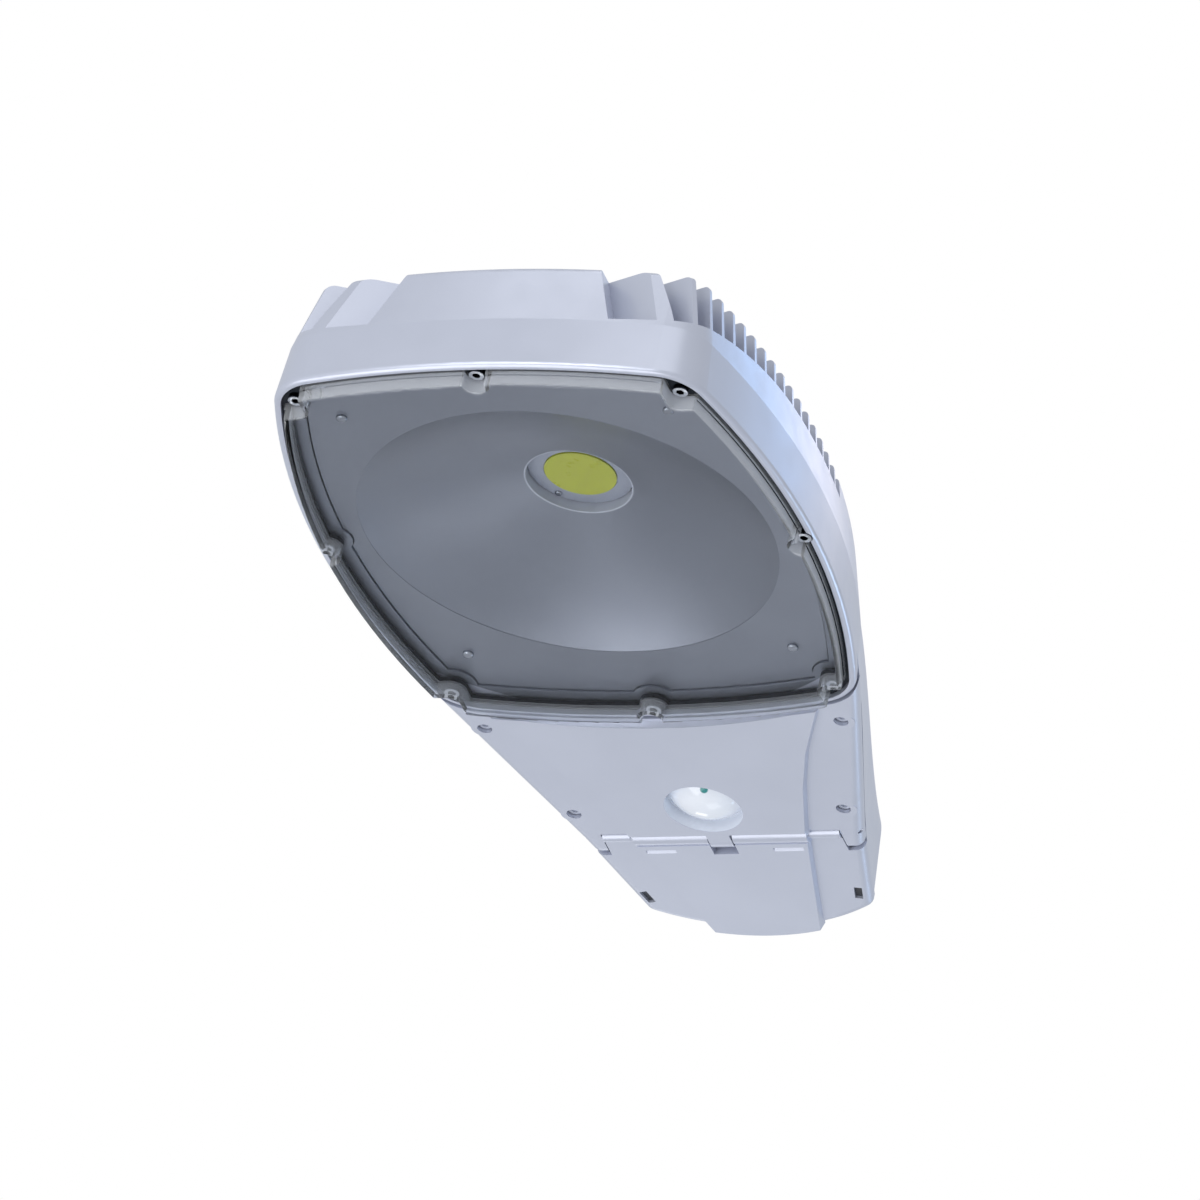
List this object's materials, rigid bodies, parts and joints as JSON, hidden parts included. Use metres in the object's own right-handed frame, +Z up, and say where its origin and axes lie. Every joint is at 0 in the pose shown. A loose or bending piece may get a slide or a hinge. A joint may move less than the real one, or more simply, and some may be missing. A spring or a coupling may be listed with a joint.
{
  "type": "street light head",
  "caption": "Flat street light head that clamps on a lamp post's arm, with a round emitter in a bowl behind a clear window, cooling fins, a driver cover and a hinged wiring door.",
  "frame": {"origin": "on the axis of the lamp post's arm, half way along the clamp strap", "axes": "+Y from the head towards the post along the arm, +Z up, the window faces -Z"},
  "size_m": [0.2814, 0.538, 0.0886],
  "materials": {
    "housing_paint": "fine grey powder coat",
    "cover_paint": "fine grey powder coat",
    "clear_window": "clear, smooth",
    "seal": "dark silicone",
    "fastener_steel": "stainless",
    "reflector_metal": "satin, slightly grey",
    "phosphor": "yellow-green phosphor under clear silicone",
    "white_plastic": "matt white",
    "dome_plastic": "glossy white",
    "board_metal": "bare metal-core board",
    "pad_rubber": "soft grey pad",
    "driver_metal": "plain",
    "dark_plastic": "matt black",
    "board_green": "circuit board",
    "clamp_metal": "plain cast"
  },
  "bodies": {
    "head": {"housing": "housing_paint", "lens": "clear_window", "lens_gasket": "seal", "lens_screws": "fastener_steel", "reflector": "reflector_metal", "reflector_screws": "fastener_steel", "emitter": "phosphor", "emitter_ring": "white_plastic", "emitter_board": "board_metal", "thermal_pad": "pad_rubber", "emitter_screws": "fastener_steel", "driver_case": "driver_metal", "driver_screws": "fastener_steel", "terminal_block": "white_plastic", "surge_protector": "dark_plastic", "block_screws": "fastener_steel", "cable_grommet": "seal", "driver_cover": "cover_paint", "cover_gasket": "seal", "cover_screws": "fastener_steel", "sensor_dome": "dome_plastic", "sensor_board": "board_green", "hinge_pin": "fastener_steel", "pipe_clamp": "clamp_metal", "clamp_bolts": "fastener_steel"},
    "door": {"terminal_door": "cover_paint", "door_latches": "dark_plastic"}
  },
  "joints": [
    {"name": "door_hinge", "type": "hinge", "parent": "head", "child": "door", "pos_m": [0, -0.0438, -0.0398], "axis": [-1, 0, 0], "range_deg": [0, 92]}
  ]
}
